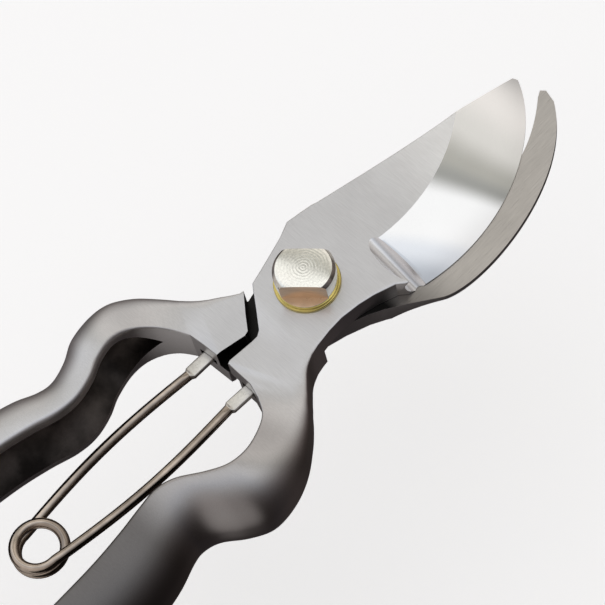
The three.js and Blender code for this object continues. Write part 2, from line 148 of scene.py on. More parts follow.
# towards the tips: blue-grey, white, a grey-green gap, then a warm wall
ahead = sky.math("MULTIPLY_ADD", dir_x, -0.35, dir_y)
lengthways = sky.ramp(halved(ahead), [
    (0.0, (0.3, 0.28, 0.28)),
    (0.3, (0.5, 0.49, 0.49)),
    (0.48, (0.62, 0.66, 0.72)),
    (0.55, (0.84, 0.87, 0.92)),
    (0.6, white),
    (0.675, white),
    (0.71, (0.36, 0.36, 0.34)),
    (0.735, (0.46, 0.45, 0.41)),
    (0.785, (0.74, 0.72, 0.68)),
    (0.86, (0.88, 0.84, 0.8)),
    (1.0, (0.6, 0.58, 0.56)),
])
# from side to side: dark below and to the right, where no screen stands
leaning = sky.math("MULTIPLY_ADD", dir_x, -0.45, sky.math("MULTIPLY_ADD", dir_y, 0.2, dir_z))
sideways = sky.ramp(halved(leaning), [
    (0.0, (0.05, 0.04, 0.038)),
    (0.3, (0.06, 0.048, 0.045)),
    (0.5, (0.13, 0.11, 0.108)),
    (0.63, (0.25, 0.225, 0.22)),
    (0.8, (0.6, 0.59, 0.585)),
    (0.93, white),
])
# a dim screen behind the handles
behind = sky.ramp(halved(dir_y), [
    (0.0, (0.5, 0.49, 0.48)),
    (0.2, (0.34, 0.32, 0.31)),
    (0.36, black),
])
tent = sky.mix(1.0, sky.mix(1.0, lengthways, sideways, "MULTIPLY"), behind, "ADD")
glow = sky.add("Background", color=tent, strength=1.05)
backdrop = sky.add("Background", color=(0.93, 0.93, 0.93, 1), strength=1.0)
seen = sky.add("MixShader")
sky.put(sky.add("LightPath").outputs["Is Camera Ray"], seen.inputs[0])
sky.put(glow.outputs[0], seen.inputs[1])
sky.put(backdrop.outputs[0], seen.inputs[2])
sky.put(seen.outputs[0], sky.add("OutputWorld").inputs[0])

floor_level, floor_half = -0.06, 3.0
floor_bm = bmesh.new()
bmesh.ops.create_grid(floor_bm, x_segments=1, y_segments=1, size=floor_half)
bmesh.ops.translate(floor_bm, vec=(0, 0, floor_level), verts=floor_bm.verts)
floor_mesh = bpy.data.meshes.new("floor")
floor_bm.to_mesh(floor_mesh)
floor_bm.free()
floor = bpy.data.objects.new("floor", floor_mesh)
bpy.context.collection.objects.link(floor)
paper = bpy.data.materials.new("paper")
paper.use_nodes = True
paper_inputs = paper.node_tree.nodes["Principled BSDF"].inputs
paper_inputs["Base Color"].default_value = (0.9, 0.9, 0.9, 1)
paper_inputs["Roughness"].default_value = 0.9
paper_inputs["Specular IOR Level"].default_value = 0.0
paper_inputs["Emission Color"].default_value = (1, 1, 1, 1)
paper_inputs["Emission Strength"].default_value = 0.41
floor_mesh.materials.append(paper)
floor.visible_glossy = False    # the steel mirrors the tent, not the floor

# ---------------------------------------------------------------------------
# Cutting forging. Blade, neck, shoulder and right handle are one drop forging,
# belt-ground flat on both sides; the handle is a channel open to the spring.
# ---------------------------------------------------------------------------
MM = 0.001                      # lengths from here on are in millimetres; piece() converts them
LOW, HIGH = 0, 1                # the two corners of a box


def level(node, end):
    """Height of a CAD node's lowest or highest point, in millimetres."""
    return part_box(node)[end][2] / MM


cut_top = level("front_washer", LOW)
washer_top = level("front_washer", HIGH)
hook_bottom = level("rear_washer", HIGH)
lap_plane = (cut_top + hook_bottom) / 2
lap_gap = 0.05                  # each forging's half of the oil film
cut_bottom = lap_plane + lap_gap
hook_top = lap_plane - lap_gap
shoulder_half = cut_top - lap_plane
plate = cut_top - cut_bottom

blade_reach = 64.7
heel_y = 14.7
arch_y = -24.0
grip_length = 114.0
grip_half = 10.5
end_half = 9.0
channel_wall = 2.2
blade_steps, grip_steps = 60, 90
bore_radius = 4.15
socket_y = arch_y + 1.7         # where the spring's tabs stand in the shoulders
tab_width, tab_inside = 2.8, 1.3
far = 60.0                      # how far a tool reaches where it must pass right through


def on_blade(x, share):
    """A plan point at a share of the way from the heel of the blade to its tip."""
    return Vector((x, heel_y + share * (blade_reach - heel_y)))


def bezier(points, t):
    """A point on a cubic curve through four control points."""
    a, b, c, d = points
    s = 1 - t
    return s ** 3 * a + 3 * s * s * t * b + 3 * s * t * t * c + t ** 3 * d


def slope(points, t):
    """The direction of a Bezier curve at t."""
    return (bezier(points, min(t + 0.01, 1)) - bezier(points, max(t - 0.01, 0))).normalized()


def through(points, t):
    """A point at share t of the smooth curve through some plan points."""
    at = t * (len(points) - 1)
    i = min(int(at), len(points) - 2)
    w = at - i
    p0, p1 = points[max(i - 1, 0)], points[i]
    p2, p3 = points[i + 1], points[min(i + 2, len(points) - 1)]
    v1, v2 = (p2 - p0) / 2, (p3 - p1) / 2
    return ((2 * p1 - 2 * p2 + v1 + v2) * w ** 3 + (3 * p2 - 3 * p1 - 2 * v1 - v2) * w ** 2
            + v1 * w + p1)


def clamp(x):
    """Keeps a share between 0 and 1."""
    return min(max(x, 0.0), 1.0)


def row(inner_x, inner_y, outer_x, outer_y, soft=0.03):
    """One station of a forging. soft is how much of the outer side its corners take up."""
    return {"inner": Vector((inner_x, inner_y)), "outer": Vector((outer_x, outer_y)),
            "half": shoulder_half, "soft": soft, "rim": 0.3}


def swell(share):
    """How far a handle has grown to its full thickness, 0 to 1."""
    full_at = 0.14
    return sin(clamp(share / full_at) * pi / 2) ** 1.3


def grip_rows(stations):
    """Sections down a handle, which swells, runs on and thins a little towards its end."""
    inner, outer = [], []
    for share, inner_x, outer_x, lead in stations:
        y = arch_y - share * grip_length
        inner.append(Vector((inner_x, y)))
        outer.append(Vector((outer_x, y + lead)))
    rows = []
    for i in range(grip_steps + 1):
        place = through(inner, i / grip_steps)
        share = (arch_y - place.y) / grip_length
        grown = swell(share)
        thinned = (grip_half - end_half) * clamp((share - 0.5) / 0.5)
        rows.append({
            "inner": place,
            "outer": through(outer, i / grip_steps),
            "half": shoulder_half + (grip_half - shoulder_half) * grown - thinned,
            "soft": 0.28 + 0.6 * grown,
            "rim": 0.4 + 0.7 * grown,
            "share": share,
        })
    return rows


def end_rows(handle):
    """The rounded end that a handle runs out in."""
    last, before = handle[-1], handle[-2]
    centre = (last["inner"] + last["outer"]) / 2
    along = (centre - (before["inner"] + before["outer"]) / 2).normalized()
    length = (arch_y - grip_length - centre.y) / along.y
    rows = []
    for turn in range(8, 89, 8):
        shrink = cos(radians(turn))
        ahead = along * length * sin(radians(turn))
        rows.append({
            **last,
            "inner": centre + (last["inner"] - centre) * shrink + ahead,
            "outer": centre + (last["outer"] - centre) * shrink + ahead,
            "half": last["half"] * shrink,
            "rim": last["rim"] * shrink,
        })
    return rows


def section(r):
    """One cross-section: small rims on the inner side, large soft corners on the outer side."""
    rim_steps, corner_steps = 6, 12
    width = (r["outer"] - r["inner"]).length
    across, up = width * r["soft"], r["half"] * r["soft"]
    rim = min(r["rim"], r["half"] / 2)
    top = []
    for i in range(rim_steps + 1):
        a = i / rim_steps * pi / 2
        top.append((rim * (1 - cos(a)), r["half"] - rim * (1 - sin(a))))
    for i in range(corner_steps + 1):
        a = i / corner_steps * pi / 2
        top.append((width - across * (1 - sin(a)), r["half"] - up * (1 - cos(a))))
    ring = top + [(in_from, -z) for in_from, z in reversed(top)]
    return [Vector((*r["inner"].lerp(r["outer"], in_from / width), lap_plane + z))
            for in_from, z in ring]


def skin(rings):
    """A closed skin grown from the first ring through all the others."""
    bm = bmesh.new()
    cap = face = bm.faces.new([bm.verts.new(p) for p in rings[0]])
    for ring in rings[1:]:
        inside = face
        grown = bmesh.ops.extrude_face_region(bm, geom=[face])["geom"]
        face = next(g for g in grown if isinstance(g, bmesh.types.BMFace))
        for vert, place in zip(face.verts, ring):
            vert.co = place
        if inside is not cap:
            bm.faces.remove(inside)
    bmesh.ops.recalc_face_normals(bm, faces=bm.faces)
    return bm


def prism(outline, bottom, top):
    """An upright prism over a plan outline."""
    bm = bmesh.new()
    base = bm.faces.new([bm.verts.new((x, y, bottom)) for x, y in outline])
    grown = bmesh.ops.extrude_face_region(bm, geom=[base])["geom"]
    tops = [g for g in grown if isinstance(g, bmesh.types.BMVert)]
    bmesh.ops.translate(bm, vec=(0, 0, top - bottom), verts=tops)
    bmesh.ops.recalc_face_normals(bm, faces=bm.faces)
    return bm


def rod(radius, bottom, top, x=0.0, y=0.0):
    """A plain upright cylinder."""
    bm = bmesh.new()
    bmesh.ops.create_cone(bm, segments=64, radius1=radius, radius2=radius, depth=top - bottom,
                          cap_ends=True)
    bmesh.ops.translate(bm, vec=(x, y, (top + bottom) / 2), verts=bm.verts)
    return bm


def piece(bm, name, *materials):
    """Turns millimetres into metres and makes the object."""
    bmesh.ops.scale(bm, vec=(MM, MM, MM), verts=bm.verts)
    mesh = bpy.data.meshes.new(name)
    bm.to_mesh(mesh)
    bm.free()
    for material in materials:
        mesh.materials.append(material)
    made = bpy.data.objects.new(name, mesh)
    bpy.context.collection.objects.link(made)
    return made


def cut(body, *tools):
    """Takes each tool, a (mesh, material) pair, out of a body; the cut faces keep its material."""
    cutters = []
    for bm, material in tools:
        cutters.append(piece(bm, "tool", material))
        step = body.modifiers.new("cut", "BOOLEAN")
        step.object = cutters[-1]
        step.operation = "DIFFERENCE"
        step.solver = "MANIFOLD"
        step.material_mode = "TRANSFER"
    graph = bpy.context.evaluated_depsgraph_get()
    solid = bpy.data.meshes.new_from_object(body.evaluated_get(graph))
    body.modifiers.clear()
    body.data = solid
    for cutter in cutters:
        bpy.data.objects.remove(cutter)


def forging(name, stations, material):
    """The solid that runs through a list of stations."""
    return piece(skin([section(r) for r in stations]), name, material)


def break_edges(body, width):
    """Takes the sharpness off every hard edge, by a width in millimetres, and shades the rest
    smooth. The flats of the blades, and the borders between two grinds, stay crisp.
    """
    weld, level_enough, blade_root = 1e-5, 0.99999, -10 * MM
    smooth_fold, flat_fold = radians(16), radians(1)
    bm = bmesh.new()
    bm.from_mesh(body.data)
    bmesh.ops.remove_doubles(bm, verts=bm.verts, dist=weld)
    bmesh.ops.dissolve_degenerate(bm, edges=bm.edges, dist=weld)
    hard = [line for line in bm.edges if line.calc_face_angle(0) > 2 * smooth_fold]
    bmesh.ops.bevel(bm, geom=hard, offset=width * MM, offset_type="OFFSET", affect="EDGES",
                    segments=2, profile=0.5, material=-1, clamp_overlap=True)
    bmesh.ops.recalc_face_normals(bm, faces=bm.faces)
    bm.normal_update()
    for face in bm.faces:
        face.smooth = True
    for line in bm.edges:
        flat = max(abs(face.normal.z) for face in line.link_faces) > level_enough
        on_flat = flat and line.verts[0].co.y > blade_root
        grinds = {face.material_index for face in line.link_faces}
        gentle = line.calc_face_angle(0) < (flat_fold if on_flat else smooth_fold)
        line.smooth = gentle and len(grinds) == 1
    bm.to_mesh(body.data)
    bm.free()


def steel(name, colour, roughness, grain, turn=0.0, bite=0.05, patch=0.06, fade=None, lines=0.18):
    """Bare metal. grain stretches the scratches and turn lays them round Z; bite is how deep they
    are and lines how dark. patch is how cloudy the tint is. fade lists the tint down the length
    of the tool, as (share, colour) stops.
    """
    fade_from, fade_length = 80 * MM, 200 * MM
    cloud_scale, speck_scale, speck_share, relief = 0.12 / MM, 4 / MM, 0.4, 0.02 * MM
    material = bpy.data.materials.new(name)
    material.use_nodes = True
    n = Nodes(material.node_tree)
    shader = material.node_tree.nodes["Principled BSDF"]
    where = n.add("TexCoord").outputs["Object"]
    lay = n.add("Mapping", vector=where)
    lay.inputs["Rotation"].default_value = (0, 0, turn)
    lay.inputs["Scale"].default_value = [g / MM for g in grain]
    fine = n.add("TexNoise", vector=lay.outputs[0], scale=1.0, detail=5.0).outputs["Fac"]
    cloud = n.add("TexNoise", vector=where, scale=cloud_scale, detail=3.0).outputs["Fac"]
    speck = n.add("TexNoise", vector=where, scale=speck_scale, detail=2.0).outputs["Fac"]
    dark = [c * (1 - patch * 2) for c in colour]
    light = [min(c * (1 + patch * 2), 1) for c in colour]
    base = n.ramp(cloud, [(0.3, dark), (0.7, light)])
    if fade:
        y = n.add("SeparateXYZ", vector=where).outputs["Y"]
        down = n.math("MULTIPLY_ADD", y, -1 / fade_length, fade_from / fade_length)
        base = n.mix(1.0, base, n.ramp(down, fade), "MULTIPLY")
    scratches = n.ramp(fine, [(0.3, (0.25, 0.25, 0.25)), (0.7, white)])
    base = n.mix(lines, base, scratches, "MULTIPLY")
    n.put(base, shader.inputs["Base Color"])
    shader.inputs["Metallic"].default_value = 1.0
    rough = n.math("MULTIPLY_ADD", fine, roughness * 0.35, roughness * 0.8)
    n.put(rough, shader.inputs["Roughness"])
    height = n.math("ADD", n.math("MULTIPLY", speck, speck_share), fine)
    bump = n.add("Bump", height=height, strength=bite, distance=relief)
    n.put(bump.outputs[0], shader.inputs["Normal"])
    return material


# the ground flat darkens from the blade to the end of the handle
flat_steel = steel("belt_ground_steel", (0.99, 0.985, 0.985), 0.34, (0.25, 12, 12), radians(35),
                   bite=0.3, patch=0.012, fade=[
                       (0.0, white),
                       (0.17, (0.97, 0.965, 0.96)),
                       (0.3, (0.73, 0.725, 0.73)),
                       (0.5, (0.72, 0.715, 0.72)),
                       (0.56, (0.58, 0.565, 0.56)),
                       (0.65, (0.5, 0.48, 0.475)),
                       (0.71, (0.19, 0.18, 0.175)),
                   ])
mirror_steel = steel("polished_steel", (0.9, 0.9, 0.9), 0.04, (0.3, 9, 9), radians(10),
                     bite=0.0, patch=0.004, lines=0.03)
relief_steel = steel("relief_ground_steel", (0.97, 0.97, 0.99), 0.3, (0.25, 12, 12), radians(35),
                     bite=0.1, patch=0.01)
# near black: painted shade for the handle troughs and the spring pockets, where little light reaches
shaded_hollow_steel = steel("painted_shade_hollows", (0.07, 0.06, 0.055), 0.45, (1.5, 1.5, 1.5), bite=1.0, patch=0.3)
# the lapped faces are bright on the blades; round the pivot they fade to near black, painted shade
# and the neck walls' dark reflection painted in
lap_steel_painted_shade = steel("lapped_steel_painted_shade", (0.62, 0.59, 0.56), 0.3, (9, 0.3, 9), radians(25),
                  bite=0.4, patch=0.015, fade=[
                      (0.0, white),
                      (0.28, (0.95, 0.94, 0.92)),
                      (0.345, (0.4, 0.39, 0.38)),
                      (0.36, (0.03, 0.03, 0.03)),
                  ])
bright_cut = steel("milled_steel", (0.7, 0.7, 0.7), 0.2, (0.5, 8, 8), bite=0.2)

# plan curves of the blade, heel to tip
edge = [on_blade(16.2, 0), on_blade(22.5, 0.44), on_blade(11.2, 0.875), on_blade(-1.8, 1)]
bevel_top = [on_blade(3.8, 0.01), on_blade(6.7, 0.29), on_blade(1.6, 0.61), on_blade(-9.2, 0.79)]
spine = [on_blade(-11.4, 0), on_blade(-7.4, 0.33), on_blade(-3.4, 0.62), on_blade(-2.1, 1)]

# from the heel down to the arch: inner x and y, outer x and y
cut_neck = [
    row(-11.9, 13.3, 15.6, 12.9), row(-12.3, 11.3, 14.1, 11.3), row(-13, 7.2, 12.4, 6.8),
    row(-11.6, 3.8, 11.5, 3.2), row(-10.4, -0.4, 10.9, -1.2), row(-9.2, -4.8, 11.0, -4.8),
    row(-8.5, -7.5, 11.3, -7.2), row(-7.2, -8.6, 11.5, -8.8, 0.05),
    row(-3.6, -11.4, 12.0, -11.0, 0.08), row(-0.1, -14.2, 12.8, -12.8, 0.1),
    row(0.6, -15.4, 13.4, -13.8, 0.12), row(0.6, -17, 14.2, -14.8, 0.14),
    row(0.35, -20, 15.2, -15.8, 0.16), row(0.1, arch_y + 1.1, 15.9, -16.5, 0.18),
    row(0.4, arch_y + 0.4, 16.4, -17, 0.19), row(3.5, arch_y + 0.3, 17.3, -17.8, 0.22),
    row(6.8, arch_y + 0.2, 18.3, -18.8, 0.26),
]
# handle: share of the grip length, inner x, outer x, how far the outer point leads up the handle
cut_grip = [
    (0.009, 10.3, 20, 4.7), (0.029, 14, 22.9, 3.8), (0.066, 16.7, 27, 2.3),
    (0.103, 18.1, 29.4, 0.5), (0.139, 17.8, 29.8, -1.2), (0.176, 15.5, 27.3, -1.8),
    (0.219, 12, 23.6, -1.3), (0.256, 10.7, 22.4, -0.6), (0.298, 11.1, 22.8, 1),
    (0.356, 12, 25, 1.2), (0.43, 12.7, 26.4, 1), (0.53, 12.9, 26.4, 0),
    (0.64, 12.8, 25.4, -1), (0.75, 12.2, 23.9, -1.5), (0.85, 11.1, 22, -2),
    (0.94, 9.6, 19.4, -2.6),
]


def blade_rows(inner_curve, outer_curve):
    """Stations from just short of the tip back to the heel."""
    nearly_tip = 0.985
    rows = []
    for i in range(blade_steps + 1):
        t = nearly_tip * (1 - i / blade_steps)
        rows.append(row(*bezier(inner_curve, t), *bezier(outer_curve, t), soft=0.012))
    return rows


def channel(handle):
    """The trough inside a handle: shallow under a thick lip at first, then full depth."""
    start, end, opening = 0.03, 0.94, 0.09      # shares of the handle
    thick_lip, overhang = 4.5, 5.0
    rings = []
    for r in handle:
        if not start < r["share"] < end:
            continue
        width = (r["outer"] - r["inner"]).length
        opened = clamp((r["share"] - start) / opening)
        lip = channel_wall + thick_lip * (1 - opened) ** 2
        depth = max((width - channel_wall) * sqrt(opened), 1)
        rings.append(section({
            "inner": r["inner"].lerp(r["outer"], -overhang / width),
            "outer": r["inner"].lerp(r["outer"], depth / width),
            "half": r["half"] - lip,
            "soft": r["soft"],
            "rim": 0.01,
        }))
    return skin(rings)


def lap_cutter(side, bottom, top):
    """Everything beyond the stepped line where the two shoulders meet."""
    line = [(-far, -5.3), (-14, -5.3), (-8.1, -10.4), (-4.5, -13.5), (-1.6, -15.8), (-1.3, -16.9),
            (-2.6, arch_y + 1.2), (-2.7, arch_y - 1), (far, arch_y - 1), (far, 2 * far),
            (-far, 2 * far)]
    return prism([(side * x, y) for x, y in line], bottom, top)


def socket_cutter(side):
    """The pocket that a spring tab stands in, wide enough for it to swing."""
    near, beyond, half, clearance = 3.66, 8.14, 0.95, 0.25
    mouth = arch_y - 3
    end = socket_y + hypot(tab_inside, tab_width / 2) + clearance
    outline = [(near, mouth), (near, end), (beyond, end), (beyond, mouth)]
    return prism([(side * x, y) for x, y in outline], lap_plane - half, lap_plane + half)


def bevel_cutter():
    """The ground face, slightly full, from the edge up to its border on the flat."""
    land, bulge, across, overrun = 0.25, 0.32, 12, 1.04
    base, rise, above = cut_bottom + land, plate - land, cut_top + 6
    profile = [(-0.3, base - 0.1)]
    for i in range(across + 1):
        k = i / across
        profile.append((k, base + k * rise + bulge * 4 * k * (1 - k)))
    profile += [(1.2, base + 1.2 * rise), (1.2, above), (-0.3, above)]
    rings = []
    for i in range(blade_steps + 1):
        t = i / blade_steps * overrun
        beyond = slope(edge, 1) * max(t - 1, 0) * blade_reach
        low = bezier(edge, min(t, 1)) + beyond
        high = bezier(bevel_top, min(t, 1)) + beyond
        rings.append([Vector((*low.lerp(high, k), z)) for k, z in profile])
    return skin(rings)


def heel_groove():
    """The relief ground across the heel by a round stone, deepening towards the edge."""
    radius, depth, length, centre_at = 2.6, 0.1, 28.7, 7.17
    falls_over = 12.8
    drop = atan2(plate, falls_over)
    run = Vector((cos(drop), -0.02, -sin(drop))).normalized()
    bm = bmesh.new()
    bmesh.ops.create_cone(bm, segments=128, radius1=radius, radius2=radius, depth=length,
                          cap_ends=True)
    bmesh.ops.rotate(bm, matrix=run.to_track_quat("Z", "Y").to_matrix(), verts=bm.verts)
    start = Vector((3.8, heel_y + 0.7, cut_top + radius - depth))
    bmesh.ops.translate(bm, vec=start + run * centre_at, verts=bm.verts)
    return bm


cut_handle = grip_rows(cut_grip)
cutting = forging("cutting_forging",
                  blade_rows(spine, edge) + cut_neck + cut_handle + end_rows(cut_handle), flat_steel)
cut(cutting, (lap_cutter(-1, -far, cut_bottom), lap_steel_painted_shade), (channel(cut_handle), shaded_hollow_steel),
    (bevel_cutter(), mirror_steel), (heel_groove(), relief_steel),
    (rod(bore_radius, -far, far), bright_cut), (socket_cutter(1), shaded_hollow_steel))
break_edges(cutting, 0.12)
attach(cutting, "cutting_side")
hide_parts("cutting_blade")

# ---------------------------------------------------------------------------
# Hook forging. The crescent that the cut is made against, its boss and the
# left handle, forged in one and ground thin along the hook's back.
# ---------------------------------------------------------------------------
hook_back = [on_blade(21.3, 0.046), on_blade(26, 0.19), on_blade(23.8, 0.8), on_blade(7.2, 1.026)]
hook_mouth = [on_blade(3.4, 0.046), on_blade(16, 0.36), on_blade(16, 0.71), on_blade(4.2, 1.0)]
hook_tip = [row(*on_blade(4.9, 1.034), *on_blade(3.9, 1.018))]
hook_neck = [
    row(16.5, 10.7, -1.5, 14.4), row(14, 7, -6.5, 11), row(12.3, 4, -9.8, 6),
    row(10.3, -1, -10.2, 0), row(9, -5.5, -9.6, -5), row(8.4, -7.6, -9, -8),
    row(7.1, -8.7, -8.6, -9.6), row(3.6, -11.4, -8.9, -10.8, 0.05),
    row(0.1, -14.2, -9.9, -12.1, 0.08), row(-0.6, -15.4, -10.5, -12.8, 0.1),
    row(-0.6, -17, -11.3, -13.7, 0.12), row(-0.35, -20, -12.3, -14.9, 0.14),
    row(-0.1, arch_y + 1.1, -13.1, -15.9, 0.16), row(-0.4, arch_y + 0.3, -13.6, -16.4, 0.17),
    row(-3.5, arch_y + 0.2, -14.6, -17.4, 0.2), row(-6.5, arch_y + 0.1, -15.8, -18.4, 0.24),
]
# as for the cutting handle, mirrored
hook_grip = [
    (0.002, -9.9, -17.8, 4.3), (0.018, -13.4, -21.2, 3.6), (0.04, -16.3, -25.3, 2.6),
    (0.07, -18.5, -28.5, 1.5), (0.105, -19.2, -29.4, 0.4), (0.146, -18.2, -28.6, -0.4),
    (0.184, -16.2, -26.1, -0.6), (0.228, -15, -24.7, -0.3), (0.272, -15.4, -25.4, 1.2),
    (0.325, -17.3, -27.7, 2.8), (0.386, -19, -29.8, 2.8), (0.456, -20.2, -31.4, 2.2),
    (0.553, -21.2, -32.4, 1.2), (0.658, -21.4, -32.4, 0), (0.763, -20.8, -31.4, -1),
    (0.86, -19.3, -29.2, -2.2), (0.94, -17.2, -26.2, -3.2),
]


def hook_grind():
    """The underside of the hook, ground away to leave a low upright rim along its back. The grind
    runs out up the shank.
    """
    rim_height, width, run_out, shank_steps, overrun = 1.4, 6.0, 14.0, 20, 3.0
    rim, drop, below = hook_top - rim_height, plate - rim_height, -5
    rings = []
    for i in range(-shank_steps, blade_steps + 1):
        t, shank = max(i, 0) / blade_steps, min(i, 0) / shank_steps
        along = slope(hook_back, t)
        inward = Vector((-along.y, along.x))
        place = bezier(hook_back, t) + along * (overrun if i == blade_steps else shank * run_out)
        reach = width * (0.35 + 0.65 * sin(pi * min(t + 0.12, 0.5)))
        top = rim - 1.1 * drop * shank * shank
        profile = [(-0.5, top + drop * 0.3), (-0.5, below), (1.3, below), (1.3, top - drop * 1.3),
                   (0, top)]
        rings.append([Vector((*(place + inward * k * reach), z)) for k, z in profile])
    return skin(rings)


hook_steel = steel("buffed_steel", (0.71, 0.705, 0.71), 0.38, (0.25, 12, 12), radians(60),
                   bite=0.3, patch=0.015)
catch_centre = [(a + b) / 2 / MM for a, b in zip(*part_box("catch_rivet"))]
rivet_hole = 1.75
hook_handle = grip_rows(hook_grip)
hook = forging("hook_forging", hook_tip + blade_rows(hook_back, hook_mouth) + hook_neck + hook_handle
               + end_rows(hook_handle), hook_steel)
cut(hook, (lap_cutter(1, hook_top, far), lap_steel_painted_shade), (channel(hook_handle), shaded_hollow_steel),
    (hook_grind(), hook_steel), (rod(bore_radius, -far, far), bright_cut),
    (socket_cutter(-1), shaded_hollow_steel),
    (rod(rivet_hole, -far, far, catch_centre[0], catch_centre[1]), bright_cut))
break_edges(hook, 0.12)
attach(hook, "hook_side")
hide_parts("hook_blade")

# ---------------------------------------------------------------------------
# Pivot bolt. A turned steel bolt with a round domed head, milled with two flats
# for a spanner; the lathe tool has left fine rings on its crown.
# ---------------------------------------------------------------------------
def turned(profile, x=0.0, y=0.0):
    """A body spun round an upright axis from pairs of radius and height."""
    bm = bmesh.new()
    verts = [bm.verts.new((r, 0, z)) for r, z in profile]
    edges = [bm.edges.new(pair) for pair in zip(verts, verts[1:])]
    if profile[0][0] > 0:
        edges.append(bm.edges.new((verts[-1], verts[0])))
    bmesh.ops.spin(bm, geom=verts + edges, cent=(0, 0, 0), axis=(0, 0, 1), angle=tau,
                   steps=96, use_merge=True, use_duplicate=False)
    bmesh.ops.remove_doubles(bm, verts=bm.verts, dist=1e-4)
    bmesh.ops.recalc_face_normals(bm, faces=bm.faces)
    bmesh.ops.translate(bm, vec=(x, y, 0), verts=bm.verts)
    return bm


def ringed(material, pitch, bite):
    """Adds lathe rings round the pivot axis to a steel."""
    wave_unit, relief = 0.314, 0.03 * MM        # a wave at scale 1 repeats about every 0.314
    n = Nodes(material.node_tree)
    shader = material.node_tree.nodes["Principled BSDF"]
    where = n.add("TexCoord").outputs["Object"]
    wave = n.add("TexWave", vector=where, scale=wave_unit / (pitch * MM), distortion=2.5,
                 detail=3.0, wave_type="RINGS", rings_direction="Z")
    bump = n.add("Bump", height=wave.outputs["Fac"], strength=bite, distance=relief)
    n.put(shader.inputs["Normal"].links[0].from_socket, bump.inputs["Normal"])
    n.put(bump.outputs[0], shader.inputs["Normal"])
    return material


bolt_radius, bolt_chamfer = 4.0, 0.6
head_radius, head_flats, head_height, flange, worn = 6.5, 8.7, 6.0, 1.0, 0.15
dome_height, dome_edge = 0.55, 1.1
thread_start, thread_step, thread_depth, shank_from = 0.5, 0.32, 0.35, 6.0
ring_pitch = 0.62
crown = washer_top + head_height
turned_steel = ringed(steel("turned_steel", (1.0, 0.975, 0.9), 0.16, (2, 2, 2), patch=0.01),
                      ring_pitch, 0.22)
milled_flat = steel("milled_flat", (0.85, 0.66, 0.49), 0.3, (0.4, 0.4, 6), bite=0.8)
threads = [(bolt_radius - thread_depth * (i % 2), thread_start + thread_step * i) for i in range(14)]
dome = []
for turn in range(64, -1, -8):
    a = radians(turn)
    dome.append((head_radius * sin(a), crown - dome_height * (1 - cos(a))))
bolt = piece(turned([
    (0, 0),
    (bolt_radius - bolt_chamfer, 0),
    *threads,
    (bolt_radius, shank_from),
    (bolt_radius, washer_top),
    (head_radius - worn, washer_top),
    (head_radius, washer_top + worn),
    (head_radius, crown - dome_edge),
    *dome,
]), "bolt", turned_steel)
flat_turn = atan2(0.646, 0.763)     # which way the two flats run


def flat_cutter(side):
    """A slab that mills one flat of the head, down to its flange."""
    near, beyond = side * head_flats / 2, side * far
    corners = [(-far, near), (far, near), (far, beyond), (-far, beyond)]
    bm = prism(corners, washer_top + flange, washer_top + 2 * head_height)
    bmesh.ops.rotate(bm, matrix=Matrix.Rotation(flat_turn, 3, "Z"), verts=bm.verts)
    return bm


cut(bolt, (flat_cutter(1), milled_flat), (flat_cutter(-1), milled_flat))
break_edges(bolt, 0.1)
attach(bolt, "hook_side")
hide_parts("pivot_bolt")

# ---------------------------------------------------------------------------
# Washers and nut. A polished brass washer under the bolt head; behind the hook
# a plated washer, a split spring washer and a chamfered hexagon nut.
# ---------------------------------------------------------------------------
brass = steel("brass", (0.74, 0.6, 0.2), 0.2, (3, 3, 3), bite=0.1, patch=0.05)
plated = steel("bright_plate", (0.66, 0.66, 0.64), 0.25, (1, 1, 1), bite=0.3, patch=0.08)
tempered = steel("tempered_wire", (0.5, 0.42, 0.35), 0.2, (0.6, 0.6, 0.6), bite=0.3, patch=0.14)


def washer(name, node, material):
    """A flat ring with its corners worn round, filling its CAD node's box."""
    low, high, rim = level(node, LOW), level(node, HIGH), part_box(node)[HIGH][0] / MM
    hole, soft = bore_radius, 0.12
    bm = turned([(hole, low), (rim - soft, low), (rim, low + soft), (rim, high - soft),
                 (rim - soft, high), (hole + soft, high), (hole, high - soft)])
    made = piece(bm, name, material)
    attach(made, "hook_side")
    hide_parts(node)
    return made


front = washer("brass_ring", "front_washer", brass)
rear = washer("plain_ring", "rear_washer", plated)
split = washer("split_ring", "lock_washer", tempered)
slit_half, slit_turn = 0.4, 2.4     # the slit that makes the third ring a spring washer
slit = prism([(0, -slit_half), (far, -slit_half), (far, slit_half), (0, slit_half)], -far, far)
bmesh.ops.rotate(slit, matrix=Matrix.Rotation(slit_turn, 3, "Z"), verts=slit.verts)
cut(split, (slit, tempered))

nut_low, nut_high = level("pivot_nut", LOW), level("pivot_nut", HIGH)
nut_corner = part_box("pivot_nut")[HIGH][0] / MM
nut_flat = nut_corner * sqrt(3) / 2
hexagon = [(nut_corner * cos(i * pi / 3), nut_corner * sin(i * pi / 3)) for i in range(6)]
nut = piece(prism(hexagon, nut_low, nut_high), "nut", plated)
thread_gap, chamfer_rise, chamfer_out = 0.05, 0.85, nut_corner + 1
nut_tools = [(rod(bolt_radius + thread_gap, -far, far), plated)]
for z, way in ((nut_low - 0.01, 1), (nut_high + 0.01, -1)):
    chamfer = turned([(nut_flat - 0.1, z), (chamfer_out, z), (chamfer_out, z + chamfer_rise * way)])
    nut_tools.append((chamfer, plated))
cut(nut, *nut_tools)
for ring in (front, rear, split, nut):
    break_edges(ring, 0.06)
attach(nut, "hook_side")
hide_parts("pivot_nut")

